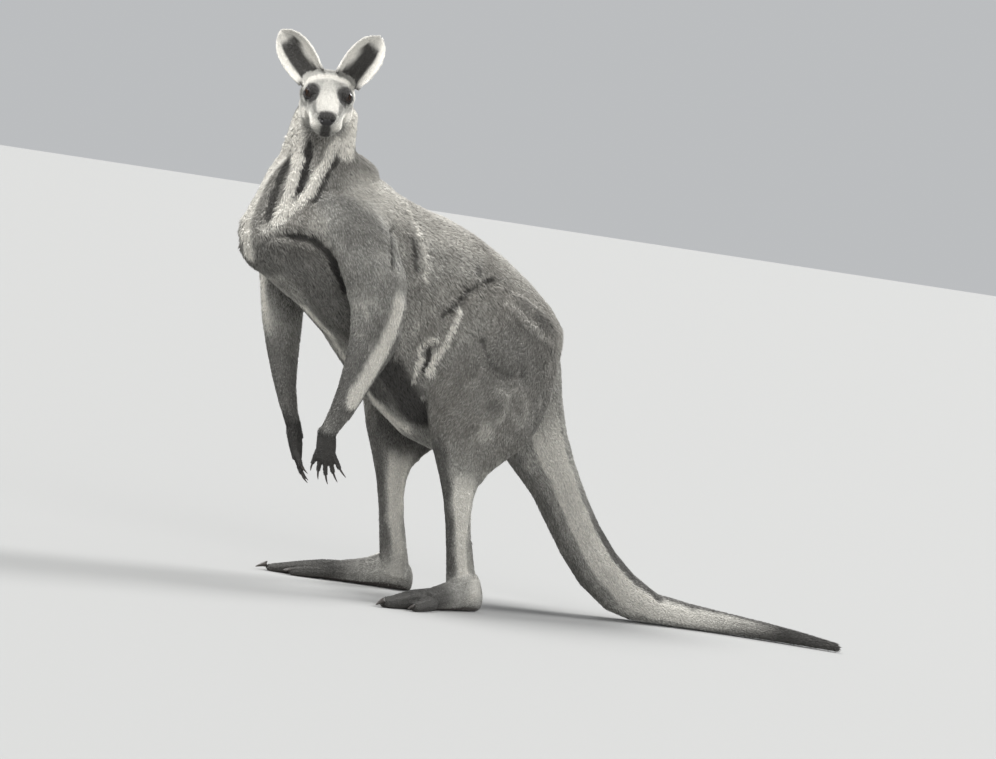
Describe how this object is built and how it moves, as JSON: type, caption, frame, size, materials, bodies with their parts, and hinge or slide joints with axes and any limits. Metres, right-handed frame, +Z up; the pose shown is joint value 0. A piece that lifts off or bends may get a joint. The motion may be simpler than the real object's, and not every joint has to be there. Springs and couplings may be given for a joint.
{
  "type": "kangaroo still model",
  "caption": "Life-size still model of a grown male eastern grey kangaroo standing at rest, head turned to its left, arms hanging and tail resting on the floor.",
  "frame": {"origin": "middle of the bounding box's base, on the floor the feet and tail stand on", "axes": "+Z up, -Y the way the body faces, +X the animal's left"},
  "size_m": [0.5238, 1.5418, 1.1643],
  "materials": {
    "fur": "short grey-brown coat",
    "ear_fur": "thin coat, pale rim and dark hollow",
    "dark_fur": "short near-black coat",
    "eye": "wet dark brown",
    "claw": "dark horn, slight shine"
  },
  "bodies": {
    "root": {"trunk": "fur", "neck": "fur", "eye_left": "eye", "ear_left": "ear_fur", "eye_right": "eye", "ear_right": "ear_fur", "head": "fur", "tail_base": "fur", "tail_middle": "fur", "tail_tip": "dark_fur", "thigh_left": "fur", "shank_left": "fur", "foot_left": "dark_fur", "claw_fourth_toe_left": "claw", "claw_fifth_toe_left": "claw", "claw_third_toe_left": "claw", "claw_second_toe_left": "claw", "upper_arm_left": "fur", "forearm_left": "fur", "hand_left": "dark_fur", "claw_thumb_left": "claw", "claw_index_left": "claw", "claw_middle_left": "claw", "claw_ring_left": "claw", "claw_little_left": "claw", "thigh_right": "fur", "shank_right": "fur", "foot_right": "dark_fur", "claw_fourth_toe_right": "claw", "claw_fifth_toe_right": "claw", "claw_third_toe_right": "claw", "claw_second_toe_right": "claw", "upper_arm_right": "fur", "forearm_right": "fur", "hand_right": "dark_fur", "claw_thumb_right": "claw", "claw_index_right": "claw", "claw_middle_right": "claw", "claw_ring_right": "claw", "claw_little_right": "claw"}
  },
  "joints": []
}
